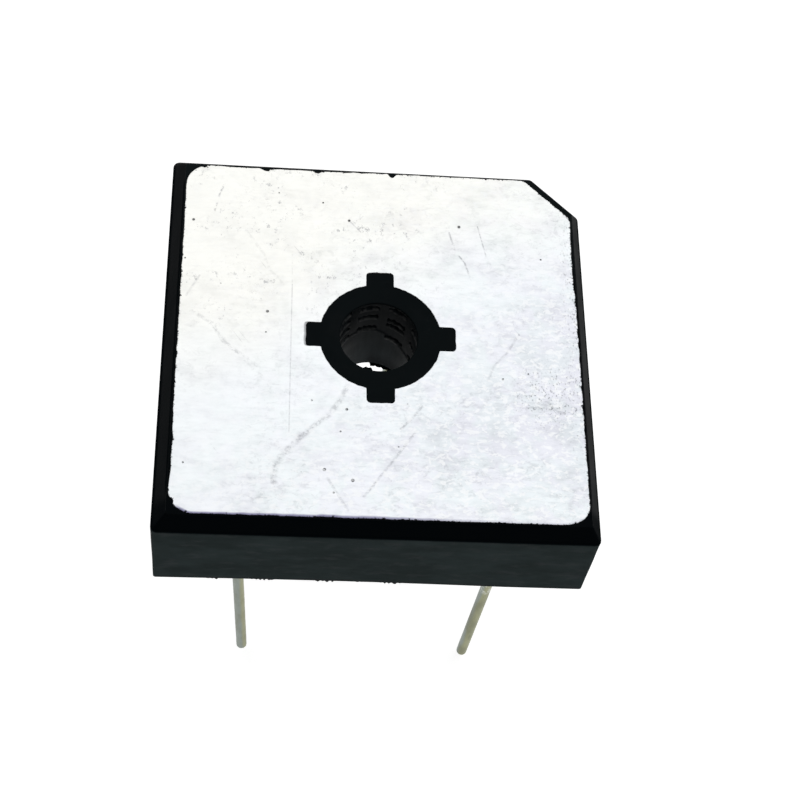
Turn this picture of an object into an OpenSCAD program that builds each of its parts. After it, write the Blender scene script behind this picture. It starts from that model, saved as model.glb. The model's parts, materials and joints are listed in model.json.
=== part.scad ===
// Single-phase bridge rectifier in a square case with a flush aluminium base plate and four wire leads.
// It stands on its leads with the base plate up. The origin is under the middle of the case, level with
// the tips of the leads, and +Z points out of the base plate.

/* [Case] */
// Width of the square case over its side walls
case_w = 28.5; // [27.5:0.1:31]
// Height of the case, from its lead side to the face of the base plate
case_h = 8.1; // [7.4:0.1:9]
// Thickness of the side walls below the base plate
wall_t = 1.4; // [1.2:0.1:1.7]
// Length that the corner chamfer takes off each side of the case
case_chamfer = 3.15; // [2.8:0.05:3.6]
// Rounding of the upright edges of the case
edge_r = 0.45; // [0.2:0.05:0.7]
// Width of the bevel round the base plate
bevel_w = 0.9; // [0.6:0.05:1.1]
// Drop of the bevel from the plate's face to the side wall
bevel_h = 1.1; // [0.6:0.05:1.4]
// Thickness of the floor on the lead side
floor_t = 1.2; // [0.8:0.1:1.6]
// Break on the lead side's outer edge
foot_break = 0.1; // [0.1:0.05:0.4]
// Clearance between a lead and its hole in the floor, which the resin fills
lead_hole_gap = 0.4; // [0.2:0.05:0.6]

/* [Screw hole] */
// Radius of the hole for the mounting screw
bore_r = 2.55; // [2.3:0.05:2.8]
// Countersink at the lead-side mouth of the hole
mouth_break = 0.3; // [0.1:0.05:0.5]
// Outer radius of the sleeve round the hole
sleeve_r = 4.05; // [3.6:0.05:4.3]
// Radius out to the ends of the four keys
key_reach = 5.0; // [4.7:0.05:5.2]
// Width of each key
key_w = 1.8; // [1.2:0.1:2.4]
// Radius of the keys' outer corners
key_r = 0.25; // [0.1:0.05:0.4]
// Radius of the collar that the base plate seats on. It is as high as the insulating sheet is thick.
collar_r = 5.5; // [5.4:0.05:5.8]

/* [Grip grooves in the hole] */
// Depth of the grooves in the hole's wall
groove_depth = 0.22; // [0.1:0.01:0.3]
// Height of each groove
groove_h = 0.34; // [0.2:0.02:0.4]
// Depth from the plate's face to the middle of the first row
groove_start = 0.35; // [0.3:0.05:0.6]
// Depth from the plate's face to the middle of the last row
groove_end = 3.2; // [2.6:0.1:3.6]
// Angle of the plain upright strips between the sets of grooves
strip_angle = 14; // [8:1:20]
// Turn of the first plain strip from +Y towards +X
strip_turn = 10; // [0:1:40]

/* [Base plate] */
// Thickness of the base plate
plate_t = 1.5; // [1.3:0.1:2]
// Radius of the base plate's three round corners
plate_r = 1.55; // [0.8:0.05:1.8]
// Length that the base plate's chamfer takes off each side
plate_chamfer = 2.95; // [2.6:0.05:3.4]
// Rounding at both ends of the base plate's chamfer
plate_chamfer_r = 0.6; // [0.2:0.05:1]

/* [Leads] */
// Diameter of the wire leads over their solder coat
lead_d = 0.82; // [0.8:0.02:1.07]
// Thickness of the solder coat on the exposed wire
coat_t = 0.02; // [0.01:0.005:0.04]
// Length of the leads below the case
lead_length = 24.8; // [19:0.1:33]
// Distance from the case's sides to the rows of leads
lead_inset = 4.85; // [4.6:0.05:5.4]
// Shift of the other three leads towards +X
lead_shift = 0.35; // [-0.4:0.05:0.4]
// Distance of the plus lead from the case's centre line
plus_x = 2.35; // [2.3:0.05:3]
// Lean of the plus lead towards +X, in degrees
lean_plus = 0.9; // [-3:0.1:3]
// Lean of the minus lead towards +X, in degrees
lean_minus = 2.1; // [-3:0.1:3]
// Lean of the first alternating-current lead towards +X, in degrees
lean_ac1 = -0.7; // [-3:0.1:3]
// Lean of the second alternating-current lead towards +X, in degrees
lean_ac2 = -0.9; // [-3:0.1:3]
// Radius of the flattened head at the inner end of each lead
head_r = 0.8; // [0.6:0.05:0.9]
// Thickness of that head
head_t = 0.4; // [0.3:0.05:0.6]

/* [Inner parts] */
// Thickness of the insulating sheet under the base plate
insulator_t = 0.4; // [0.25:0.05:0.6]
// Gap between the insulating sheet and the case
insulator_gap = 0.3; // [0.1:0.05:0.5]
// Thickness of the copper frames
frame_t = 0.8; // [0.5:0.05:1]
// Width of the copper frames
frame_w = 5; // [4.8:0.1:5.2]
// Distance from the case's inner wall to the frames
frame_margin = 1.35; // [1:0.05:1.6]
// Gap between neighbouring frames
frame_gap = 1; // [0.6:0.1:1.4]
// Chamfer on the frames' outer corners
frame_chamfer = 1.6; // [1.4:0.1:2.4]
// Side of each square silicon die
die_w = 4; // [3:0.1:4.4]
// Thickness of each die
die_t = 0.3; // [0.2:0.02:0.4]
// Distance of the dice from the case's centre lines
die_offset = 1; // [0.8:0.1:1.3]
// Margin between a die and the end of the strip it sits on
die_margin = 0.6; // [0.4:0.1:0.8]
// Thickness of each solder layer
solder_t = 0.1; // [0.06:0.02:0.16]
// Margin by which the solder stays inside the die's edge
solder_margin = 0.2; // [0.1:0.05:0.4]
// Thickness of the copper clips
clip_t = 0.5; // [0.3:0.05:0.7]
// Width of the copper clips
clip_w = 3.2; // [2.2:0.1:3.6]
// Gap between each clip's foot and the solder round the lead on the same frame
foot_gap = 1.3; // [1:0.05:1.6]
// Height of the solder fillet at each lead's head
fillet_h = 0.35; // [0.2:0.05:0.5]

/* [Hidden] */
$fn = 72;
LEADS = ["plus", "minus", "ac1", "ac2"];

// Heights above the lead tips. The stack is built from the base plate down towards the leads.
case_foot = lead_length;
plate_face = case_foot + case_h;
plate_back = plate_face - plate_t;
insulator_back = plate_back - insulator_t;
frame_back = insulator_back - frame_t;
die_front = frame_back - solder_t;
die_back = die_front - die_t;
clip_front = die_back - solder_t;
clip_back = clip_front - clip_t;
floor_top = case_foot + floor_t;

// Sizes in plan
plate_w = case_w - 2 * bevel_w;
cavity_w = case_w - 2 * wall_t;
// The cavity's chamfer runs parallel to the case's, one wall thickness inside it
cavity_chamfer = case_chamfer + (sqrt(2) - 2) * wall_t;
lead_reach = case_w / 2 - lead_inset;
// Distance from the centre of the case to the middle of each frame strip
band_mid = cavity_w / 2 - frame_margin - frame_w / 2;
die_edge = die_offset + die_w / 2 + die_margin;
gap_mid = die_edge + frame_gap / 2;
// Distance from the centre of the case to the far end of each clip's foot
foot_reach = lead_reach - lead_shift - head_r - fillet_h - foot_gap;
// Room for cutters to run past the faces that they cut
over = 1;

// Each die: its place in plan. The first two sit on the plus frame, the last two on frames 1 and 2.
die_spots = [
    [band_mid, -die_offset], [-die_offset, band_mid],
    [die_offset, -band_mid], [-band_mid, die_offset]
];
// Each side of the case, and then its chamfer: the turn that brings the side to +X, the distance out to
// the case's wall, and the distance out to the base plate's edge
sides = concat(
    [for (turn = [0:90:270]) [turn, case_w / 2, plate_w / 2]],
    [[45, (case_w - case_chamfer) / sqrt(2), (plate_w - plate_chamfer) / sqrt(2)]]
);
// Each lead, in the order of LEADS: its place where it leaves the case, its lean and its head's seat
lead_spots = [
    [plus_x, lead_reach], [lead_shift - lead_reach, -lead_reach],
    [lead_shift + lead_reach, -lead_reach], [lead_shift - lead_reach, lead_reach]
];
lead_leans = [lean_plus, lean_minus, lean_ac1, lean_ac2];
lead_seats = [frame_back, clip_back, frame_back, frame_back];

// The points of a polygon whose corners are rounded: each corner becomes an arc that meets both of its
// sides. radii gives one radius a corner, in the same order.
function rounded(corners, radii, steps = 6) = [
    for (i = [0:len(corners) - 1])
        let (
            n = len(corners),
            here = corners[i],
            back = unit(corners[(i + n - 1) % n] - here),
            ahead = unit(corners[(i + 1) % n] - here),
            half = acos(back * ahead) / 2,
            centre = here + unit(back + ahead) * radii[i] / sin(half),
            first = here + back * radii[i] / tan(half) - centre,
            start = atan2(first[1], first[0]),
            sweep = 180 - 2 * half
        )
        for (k = [0:steps])
            centre + radii[i] * [cos(start + sweep * k / steps), sin(start + sweep * k / steps)]
];
function unit(v) = v / norm(v);

// A square with its +X+Y corner cut off, anticlockwise from the corner at -X-Y
function chamfered_square(w, chamfer) = [
    [-w / 2, -w / 2], [w / 2, -w / 2], [w / 2, w / 2 - chamfer], [w / 2 - chamfer, w / 2], [-w / 2, w / 2]
];

module prism(points, low, high) translate([0, 0, low]) linear_extrude(height = high - low) polygon(points);

module case_outline(low, high)
    prism(rounded(chamfered_square(case_w, case_chamfer), [for (i = [0:4]) edge_r]), low, high);

module cavity_outline(low, high) prism(chamfered_square(cavity_w, cavity_chamfer), low, high);

module plate_outline(low, high)
    prism(
        rounded(
            chamfered_square(plate_w, plate_chamfer),
            [plate_r, plate_r, plate_chamfer_r, plate_chamfer_r, plate_r]
        ),
        low, high
    );

// Swaps X and Y: the inner parts are the same on both sides of the diagonal through the chamfer
module across_diagonal() mirror([1, -1, 0]) children();

// A long bar with the given outline in X and Z, which cuts along one side of the case
module side_bar(points)
    rotate([90, 0, 0]) linear_extrude(height = 2 * case_w, center = true) polygon(points);

// What the bevel takes off: its top edge is the base plate's edge, and its foot is on the side wall
module bevel_cut() {
    low = plate_face - bevel_h;
    high = plate_face + over;
    for (side = sides)
        rotate(side[0])
            side_bar([[side[2], plate_face], [side[1], low], [side[1] + over, low], [side[1] + over, high],
                [side[2], high]]);
}

module foot_cut() {
    high = case_foot + foot_break;
    low = case_foot - over;
    for (side = sides)
        rotate(side[0])
            side_bar([[side[1] - foot_break, case_foot], [side[1], high], [side[1] + over, high],
                [side[1] + over, low], [side[1] - foot_break, low]]);
}

// The keyed shape that fills the base plate's hole: a disc and four keys
module key_shape(low, high) {
    translate([0, 0, low]) cylinder(r = sleeve_r, h = high - low);
    half = key_w / 2;
    bar = [[-key_reach, -half], [key_reach, -half], [key_reach, half], [-key_reach, half]];
    for (turn = [0, 90])
        rotate(turn) prism(rounded(bar, [for (i = [0:3]) key_r]), low, high);
}

// One set of grooves fills the wall between two plain strips. Sets of three wide-set and of four close
// rows take turns round the hole.
module groove_rows() {
    sets = 8;
    set_angle = 360 / sets;
    for (i = [0:sets - 1]) {
        rows = 4 - i % 2;
        pitch = (groove_end - groove_start) / (rows - 1);
        for (row = [0:rows - 1])
            translate([0, 0, plate_face - groove_start - row * pitch])
                rotate(90 - strip_turn - i * set_angle - set_angle + strip_angle / 2)
                    rotate_extrude(angle = set_angle - strip_angle)
                        translate([bore_r - over, -groove_h / 2]) square([over + groove_depth, groove_h]);
    }
}

module bore_cut() {
    translate([0, 0, case_foot - over]) cylinder(r = bore_r, h = case_h + 2 * over);
    translate([0, 0, case_foot - over])
        cylinder(r1 = bore_r + mouth_break + over, r2 = bore_r, h = mouth_break + over);
    groove_rows();
}

// The sleeve round the hole, with the collar that the base plate seats on
module sleeve() {
    translate([0, 0, case_foot]) cylinder(r = sleeve_r, h = case_h);
    translate([0, 0, insulator_back]) cylinder(r = collar_r, h = insulator_t);
}

module lead_holes(low, high)
    for (spot = lead_spots)
        translate([spot[0], spot[1], low]) cylinder(r = lead_d / 2 + lead_hole_gap, h = high - low);

module case() color([0.06, 0.07, 0.08]) difference() {
    union() {
        difference() {
            case_outline(case_foot, plate_face);
            plate_outline(plate_back, plate_face + over);
            cavity_outline(floor_top, plate_back + over);
            bevel_cut();
            foot_cut();
        }
        sleeve();
        key_shape(plate_back, plate_face);
    }
    bore_cut();
    lead_holes(case_foot - over, floor_top + over);
}

module base_plate() color([0.86, 0.87, 0.9]) difference() {
    plate_outline(plate_back, plate_face);
    key_shape(plate_back - over, plate_face + over);
}

module insulator() color([0.9, 0.9, 0.86]) difference() {
    w = cavity_w - 2 * insulator_gap;
    prism(chamfered_square(w, cavity_chamfer + (sqrt(2) - 2) * insulator_gap), insulator_back, plate_back);
    translate([0, 0, insulator_back - over])
        cylinder(r = collar_r + insulator_gap, h = insulator_t + 2 * over);
}

// The plus frame joins the first two dice round the chamfered corner
module plus_frame() color([0.8, 0.5, 0.35]) {
    inner = band_mid - frame_w / 2;
    outer = band_mid + frame_w / 2;
    prism(
        [[inner, -die_edge], [outer, -die_edge], [outer, outer - frame_chamfer],
            [outer - frame_chamfer, outer], [-die_edge, outer], [-die_edge, inner], [inner, inner]],
        frame_back, insulator_back
    );
}

// A frame for alternating current: a strip along the front under the third die, and a corner block that
// takes the lead and the clip's foot
module ac1_frame() color([0.8, 0.5, 0.35]) {
    inner = band_mid - frame_w / 2;
    outer = band_mid + frame_w / 2;
    strip_end = die_offset - die_w / 2 - die_margin;
    block_end = die_edge + frame_gap;
    prism(
        [[strip_end, -outer], [outer - frame_chamfer, -outer], [outer, -outer + frame_chamfer],
            [outer, -block_end], [inner, -block_end], [inner, -inner], [strip_end, -inner]],
        frame_back, insulator_back
    );
}
module ac2_frame() across_diagonal() ac1_frame();

// A clip's foot lies on the frame, and its tongue steps down over the gap to the first die
module ac1_clip() color([0.84, 0.56, 0.4]) {
    foot_end = -gap_mid - frame_gap / 2;
    step_end = foot_end + 0.7 * frame_gap;
    tongue_end = -die_offset + clip_w / 2;
    side = [
        [-foot_reach, frame_back], [foot_end, frame_back], [step_end, clip_front],
        [tongue_end, clip_front], [tongue_end, clip_back], [step_end, clip_back],
        [foot_end, frame_back - clip_t], [-foot_reach, frame_back - clip_t]
    ];
    translate([band_mid - clip_w / 2, 0, 0])
        rotate([90, 0, 90]) linear_extrude(height = clip_w) polygon(side);
}
module ac2_clip() across_diagonal() ac1_clip();

// The minus clip joins the last two dice round the corner, where a wider pad takes the minus lead
module minus_clip() color([0.84, 0.56, 0.4]) {
    inner = band_mid - clip_w / 2;
    outer = band_mid + clip_w / 2;
    pad_inner = band_mid - frame_w / 2;
    pad_outer = band_mid + frame_w / 2;
    end = die_offset + clip_w / 2;
    prism(
        [[-pad_outer, -pad_outer], [-pad_inner, -pad_outer], [-pad_inner, -outer], [end, -outer],
            [end, -inner], [-pad_inner, -inner], [-pad_inner, -pad_inner], [-inner, -pad_inner],
            [-inner, end], [-outer, end], [-outer, -pad_inner], [-pad_outer, -pad_inner]],
        clip_back, clip_front
    );
}

module die(i) color([0.35, 0.36, 0.4])
    translate([die_spots[i - 1][0], die_spots[i - 1][1], die_back])
        linear_extrude(height = die_t) square(die_w, center = true);

// The solder on a die's face towards the base plate
module die_solder(i) color([0.7, 0.7, 0.72])
    translate([die_spots[i - 1][0], die_spots[i - 1][1], die_front])
        linear_extrude(height = solder_t) square(die_w - 2 * solder_margin, center = true);

// The solder between a die and its clip is no wider than the clip
module clip_solder(i) color([0.7, 0.7, 0.72])
    translate([die_spots[i - 1][0], die_spots[i - 1][1], clip_front])
        linear_extrude(height = solder_t) square(clip_w - 2 * solder_margin, center = true);

// A lead: the exposed wire leans from the case's floor to its tip, the bare wire inside runs straight up
// to the head, and the head is soldered to its seat
module lead(i) color([0.72, 0.72, 0.68]) {
    seat = lead_seats[i];
    translate([lead_spots[i][0], lead_spots[i][1], 0]) {
        intersection() {
            translate([0, 0, case_foot]) rotate([0, 180 - lead_leans[i], 0])
                translate([0, 0, -over]) cylinder(r = lead_d / 2, h = lead_length + 3 * over);
            translate([-case_w, -case_w, 0]) cube([2 * case_w, 2 * case_w, case_foot]);
        }
        translate([0, 0, case_foot]) cylinder(r = lead_d / 2 - coat_t, h = seat - case_foot);
        translate([0, 0, seat - head_t]) cylinder(r = head_r, h = head_t);
    }
}

// The solder fillet round a lead's head
module joint(i) color([0.7, 0.7, 0.72])
    translate([lead_spots[i][0], lead_spots[i][1], lead_seats[i] - fillet_h])
        difference() {
            cylinder(r1 = head_r, r2 = head_r + fillet_h, h = fillet_h);
            translate([0, 0, -over]) cylinder(r = head_r, h = fillet_h + 2 * over);
        }

// Everything that the resin is cast round
module embedded() {
    insulator();
    plus_frame();
    ac1_frame();
    ac2_frame();
    ac1_clip();
    ac2_clip();
    minus_clip();
    for (i = [1:4]) {
        die(i);
        die_solder(i);
        clip_solder(i);
        lead(i - 1);
        joint(i - 1);
    }
}

// The resin fills the case up to the base plate, and the leads' holes down to the floor's outer face
module potting() color([0.1, 0.1, 0.11]) difference() {
    union() {
        cavity_outline(floor_top, plate_back);
        lead_holes(case_foot, floor_top + over);
    }
    sleeve();
    embedded();
}

case();
base_plate();
insulator();
potting();
plus_frame();
ac1_frame();
ac2_frame();
ac1_clip();
ac2_clip();
minus_clip();
for (i = [1:4]) {
    die(i);
    die_solder(i);
    clip_solder(i);
    lead(i - 1);
    joint(i - 1);
}
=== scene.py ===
import bpy
import json
import math
import numpy as np
from mathutils import Matrix, Vector
from mathutils.geometry import delaunay_2d_cdt


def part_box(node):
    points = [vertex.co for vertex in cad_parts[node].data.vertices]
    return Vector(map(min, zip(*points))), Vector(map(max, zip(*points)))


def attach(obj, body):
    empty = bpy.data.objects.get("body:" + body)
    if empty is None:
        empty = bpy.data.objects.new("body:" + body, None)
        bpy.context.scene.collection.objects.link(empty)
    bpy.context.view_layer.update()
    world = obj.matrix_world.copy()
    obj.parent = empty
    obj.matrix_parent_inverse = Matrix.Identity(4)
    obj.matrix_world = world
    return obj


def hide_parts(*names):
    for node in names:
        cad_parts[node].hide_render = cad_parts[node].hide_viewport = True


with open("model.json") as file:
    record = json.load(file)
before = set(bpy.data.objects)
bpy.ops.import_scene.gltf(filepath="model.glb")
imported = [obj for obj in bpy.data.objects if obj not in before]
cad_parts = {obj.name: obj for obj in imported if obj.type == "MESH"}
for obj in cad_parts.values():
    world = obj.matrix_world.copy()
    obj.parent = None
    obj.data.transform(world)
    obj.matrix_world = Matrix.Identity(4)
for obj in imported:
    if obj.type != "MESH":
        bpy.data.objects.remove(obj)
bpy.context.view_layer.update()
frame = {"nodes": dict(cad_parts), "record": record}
mm = 0.001
turn = 2 * math.pi

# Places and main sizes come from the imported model, in millimetres
caseLow, caseHigh = (np.array(corner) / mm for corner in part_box("case"))
plateLow, plateHigh = (np.array(corner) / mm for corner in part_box("base_plate"))
resinLow, resinHigh = (np.array(corner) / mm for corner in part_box("potting"))
mounts = {mount["name"]: mount for mount in frame["record"]["mounts"]}
caseWidth = caseHigh[0] - caseLow[0]
plateWidth = plateHigh[0] - plateLow[0]
cavityWidth = resinHigh[0] - resinLow[0]
caseFoot, plateFace, plateBack = caseLow[2], plateHigh[2], plateLow[2]
boreRadius = mounts["screw_hole"]["dims"]["r_mm"]


# Each wire's radius, its slope in X per millimetre of height, where it leaves the case and its head's seat
def wireOf(name):
    pin = mounts[name]
    slope = pin["axis"][0] / pin["axis"][2]
    x, y, z = (value / mm for value in pin["pos_m"])
    return {"radius": pin["dims"]["r_mm"], "slope": slope, "root": (x + slope * (caseFoot - z), y),
            "seat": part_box(name)[1][2] / mm}


leadWires = {name: wireOf(name) for name in mounts if name.startswith("lead_")}
print("frame loaded: case", caseWidth.round(2), "mm wide, plate", plateWidth.round(2), "mm")


# A step that rises smoothly from 0 at low to 1 at high
def smoothStep(value, low, high):
    share = np.clip((value - low) / (high - low), 0, 1)
    return share * share * (3 - 2 * share)


# Smooth waves that look random: a seeded sum of sines of the coordinates, between about -1 and 1
def waves(seed, size, *coordinates, count=9):
    draw = np.random.default_rng(seed)
    total = 0
    for _ in range(count):
        heading = draw.normal(size=len(coordinates))
        heading *= draw.uniform(0.6, 1.8) * turn / size / np.linalg.norm(heading)
        phase = draw.uniform(0, turn)
        total = total + np.sin(sum(h * c for h, c in zip(heading, coordinates)) + phase)
    return total / math.sqrt(count)


# Distance from the axis to a square with one cut corner, at each angle. A side is the line where the
# distance along its normal is its offset, and the nearest line along the ray counts. A rounded corner is
# a circle that meets both of its sides: between its two tangent points the ray's far hit on it counts.
def squareRadius(angles, width, chamfer, cornerRadii, inset=0):
    normals = np.radians([0, 45, 90, 180, 270])
    offsets = np.array([width / 2, (width - chamfer) / math.sqrt(2), width / 2, width / 2, width / 2]) - inset
    facing = np.cos(angles[:, None] - normals)
    radius = np.where(facing > 0.05, offsets / np.maximum(facing, 0.05), np.inf).min(1)
    for side in range(5):
        ahead = (side + 1) % 5
        corner = cornerRadii[side]
        if corner <= 0:
            continue
        lines = np.array([[math.cos(a), math.sin(a)] for a in normals[[side, ahead]]])
        centre = np.linalg.solve(lines, offsets[[side, ahead]] - corner)
        low, high = (math.atan2(*(centre + corner * line)[::-1]) for line in lines)
        turned = (angles - low + math.pi) % turn - math.pi
        between = (turned > 0) & (turned < (high - low) % turn)
        along = centre[0] * np.cos(angles) + centre[1] * np.sin(angles)
        across = centre[0] * np.sin(angles) - centre[1] * np.cos(angles)
        arc = along + np.sqrt(np.maximum(corner**2 - across**2, 0))
        radius = np.where(between, arc, radius)
    return radius


# Distance from the axis to the keyed shape: the larger of a disc and of four round-cornered bars
def keyRadius(angles, key, inset=0):
    half, corner = key["width"] / 2 - inset, key["corner"] - inset * 0.5
    reach = key["reach"] - inset - key["leftShort"] * (np.cos(angles) < -0.9)
    local = np.abs((angles + turn / 8) % (turn / 4) - turn / 8)
    bar = np.minimum(reach / np.cos(local), half / np.maximum(np.sin(local), 1e-6))
    centre = (reach - corner, half - corner)
    along = centre[0] * np.cos(local) + centre[1] * np.sin(local)
    across = centre[0] * np.sin(local) - centre[1] * np.cos(local)
    arc = along + np.sqrt(np.maximum(corner**2 - across**2, 0))
    low, high = np.arctan2(centre[1], reach), np.arctan2(half, centre[0])
    bar = np.where((local > low) & (local < high), arc, bar)
    disc = key["disc"] - inset
    return np.log(np.exp(key["blend"] * bar) + np.exp(key["blend"] * disc)) / key["blend"]


# The columns of a polar grid: even steps all round, and closer ones within reach of each named angle
def columnAngles(step, dense):
    spans = [np.arange(0, 360, step)]
    spans += [np.arange(centre - reach, centre + reach, fine) for centre, reach, fine in dense]
    angles = np.unique(np.round(np.concatenate(spans) % 360, 3))
    keep = np.diff(angles, append=angles[0] + 360) > 0.08
    return np.radians(angles[keep])


# Faces between neighbouring rows of a grid whose columns close into a ring
def ringFaces(rows, columns, first=0, closeRows=False):
    index = first + np.arange(rows * columns).reshape(rows, columns)
    if closeRows:
        index = np.vstack([index, index[:1]])
    index = np.hstack([index, index[:, :1]])
    return np.stack([index[:-1, :-1], index[:-1, 1:], index[1:, 1:], index[1:, :-1]], -1).reshape(-1, 4)


# Points of a polar grid from its radii, angles and heights
def polarPoints(radii, angles, heights):
    radii, angles, heights = np.broadcast_arrays(radii, angles, heights)
    return np.stack([radii * np.cos(angles), radii * np.sin(angles), heights], -1)


# Triangles that fill a flat face between its outer ring and the rings inside it, by their point numbers
def flatFaces(points, rings):
    edges = [pair for ring in rings for pair in zip(ring.tolist(), np.roll(ring, -1).tolist())]
    used = np.concatenate(rings)
    place = {old: new for new, old in enumerate(used.tolist())}
    flat = [Vector(p) for p in points[used, :2].tolist()]
    found = delaunay_2d_cdt(flat, [(place[a], place[b]) for a, b in edges], [], 1, 1e-9, True)
    faces = used[np.array([[found[3][v][0] for v in face] for face in found[2]])]
    middle = points[faces, :2].mean(1)
    keep = np.ones(len(faces), bool)
    for ring in rings[1:]:
        centre = points[ring, :2].mean(0)
        reach = np.linalg.norm(points[ring, :2] - centre, axis=1).min()
        keep &= np.linalg.norm(middle - centre, axis=1) > reach
    return faces[keep]


# Turns every face over when a closed mesh would be inside out: its signed volume is negative then
def facingOut(points, faces):
    volume = 0
    for group in faces:
        for k in range(1, group.shape[1] - 1):
            a, b, c = points[group[:, 0]], points[group[:, k]], points[group[:, k + 1]]
            volume += np.einsum("ij,ij->", a, np.cross(b, c))
    return faces if volume > 0 else [group[:, ::-1] for group in faces]


# Makes a piece of the object from its points, in millimetres, and its faces
def makePiece(name, points, faces, material, replaced=(), values=None, sharp=35):
    faces = facingOut(points, faces)
    mesh = bpy.data.meshes.new(name)
    corners = np.concatenate([group.ravel() for group in faces]).astype(np.int32)
    sizes = np.concatenate([np.full(len(group), group.shape[1]) for group in faces])
    mesh.vertices.add(len(points))
    mesh.vertices.foreach_set("co", (points * mm).astype(np.float32).ravel())
    mesh.loops.add(len(corners))
    mesh.loops.foreach_set("vertex_index", corners)
    mesh.polygons.add(len(sizes))
    mesh.polygons.foreach_set("loop_start", np.concatenate([[0], np.cumsum(sizes)[:-1]]).astype(np.int32))
    mesh.polygons.foreach_set("use_smooth", np.ones(len(sizes), bool))
    for label, value in (values or {}).items():
        layer = mesh.attributes.new(label, "FLOAT", "POINT")
        layer.data.foreach_set("value", value.astype(np.float32).ravel())
    mesh.update(calc_edges=True)
    mesh.set_sharp_from_angle(angle=math.radians(sharp))
    mesh.materials.append(material)
    piece = bpy.data.objects.new(name, mesh)
    bpy.context.scene.collection.objects.link(piece)
    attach(piece, "root")
    if replaced:
        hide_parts(*replaced)
    print("made", name, "with", sum(len(g) * (g.shape[1] - 2) for g in faces), "triangles")
    return piece


class Signal:
    # One output in a shader graph. Python's operators on it add Math nodes.
    def __init__(self, tree, output=None):
        self.tree = tree
        self.output = output

    # Adds any node: its settings first, then a value or another signal for each input
    def node(self, kind, settings=None, inputs=None, take=0):
        made = self.tree.nodes.new("ShaderNode" + kind)
        for key, value in (settings or {}).items():
            if key == "stops":
                ramp = made.color_ramp.elements
                for position, _ in value[1:-1]:
                    ramp.new(position)
                for element, (position, colour) in zip(ramp, value):
                    element.position, element.color = position, (*colour, 1)
            else:
                setattr(made, key, value)
        for key, value in (inputs or {}).items():
            if isinstance(value, Signal):
                self.tree.links.new(value.output, made.inputs[key])
            else:
                made.inputs[key].default_value = value
        return Signal(self.tree, made.outputs[take])

    def math(self, operation, *values):
        return self.node("Math", {"operation": operation}, dict(enumerate(values)))

    def __add__(self, other):
        return self.math("ADD", self, other)

    def __sub__(self, other):
        return self.math("SUBTRACT", self, other)

    def __rsub__(self, other):
        return self.math("SUBTRACT", other, self)

    def __mul__(self, other):
        return self.math("MULTIPLY", self, other)

    def __neg__(self):
        return self.math("MULTIPLY", self, -1)

    def __abs__(self):
        return self.math("ABSOLUTE", self)

    __radd__ = __add__
    __rmul__ = __mul__


# The node kinds that the materials use most, each as one short call
def vectorMath(operation, a, b=None, scale=None, take=0):
    inputs = {0: a}
    if b is not None:
        inputs[1] = b
    if scale is not None:
        inputs["Scale"] = scale
    return a.node("VectorMath", {"operation": operation}, inputs, take)


def axis(place, name):
    return place.node("SeparateXYZ", None, {0: place}, name)


def noise(place, size, detail=3, roughness=0.5, stretch=(1, 1, 1), shift=0, twist=0):
    scaled = vectorMath("MULTIPLY", place, tuple(1 / (size * s) for s in stretch))
    moved = vectorMath("ADD", scaled, (shift, 1.7 * shift, -0.6 * shift))
    return place.node("TexNoise", None, {"Vector": moved, "Scale": 1, "Detail": detail,
                                         "Roughness": roughness, "Distortion": twist})


def step(value, low, high, toLow=0, toHigh=1):
    return value.node("MapRange", {"interpolation_type": "SMOOTHSTEP"},
                      {0: value, 1: low, 2: high, 3: toLow, 4: toHigh})


def mix(factor, first, second, blend="MIX"):
    asColour = lambda c: c if isinstance(c, Signal) else (*c, 1)
    return factor.node("Mix", {"data_type": "RGBA", "blend_type": blend},
                       {0: factor, 6: asColour(first), 7: asColour(second)}, 2)


def clamp(value):
    return value.node("Clamp", None, {0: value})


def bump(height):
    return height.node("Bump", None, {"Height": height, "Distance": mm, "Strength": 1})


# Makes a material: paint gets the place on the object in millimetres and returns the shader's inputs
def makeMaterial(name, paint, **settings):
    material = bpy.data.materials.new(name)
    material.use_nodes = True
    tree = material.node_tree
    shader = tree.nodes["Principled BSDF"]
    graph = Signal(tree)
    place = vectorMath("SCALE", graph.node("TexCoord", take="Object"), scale=1 / mm)
    for key, value in paint(place, **settings).items():
        if isinstance(value, Signal):
            tree.links.new(value.output, shader.inputs[key])
        else:
            shader.inputs[key].default_value = value
    return material


# Shade near one line on the plate: 1 on the segment from a to b and 0 past half its width
def lineMask(place, start, end, width):
    start, end = np.array([*start, plateFace]), np.array([*end, plateFace])
    run = end - start
    length = float(run @ run)
    offset = vectorMath("SUBTRACT", place, tuple(start))
    share = vectorMath("DOT_PRODUCT", offset, tuple(run / length), take="Value")
    share = clamp(share)
    nearest = vectorMath("SCALE", share.node("CombineXYZ", None, dict(enumerate(run))), scale=share)
    distance = vectorMath("DISTANCE", offset, nearest, take="Value")
    return step(distance, 0.2 * width, width, 1, 0)


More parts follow.
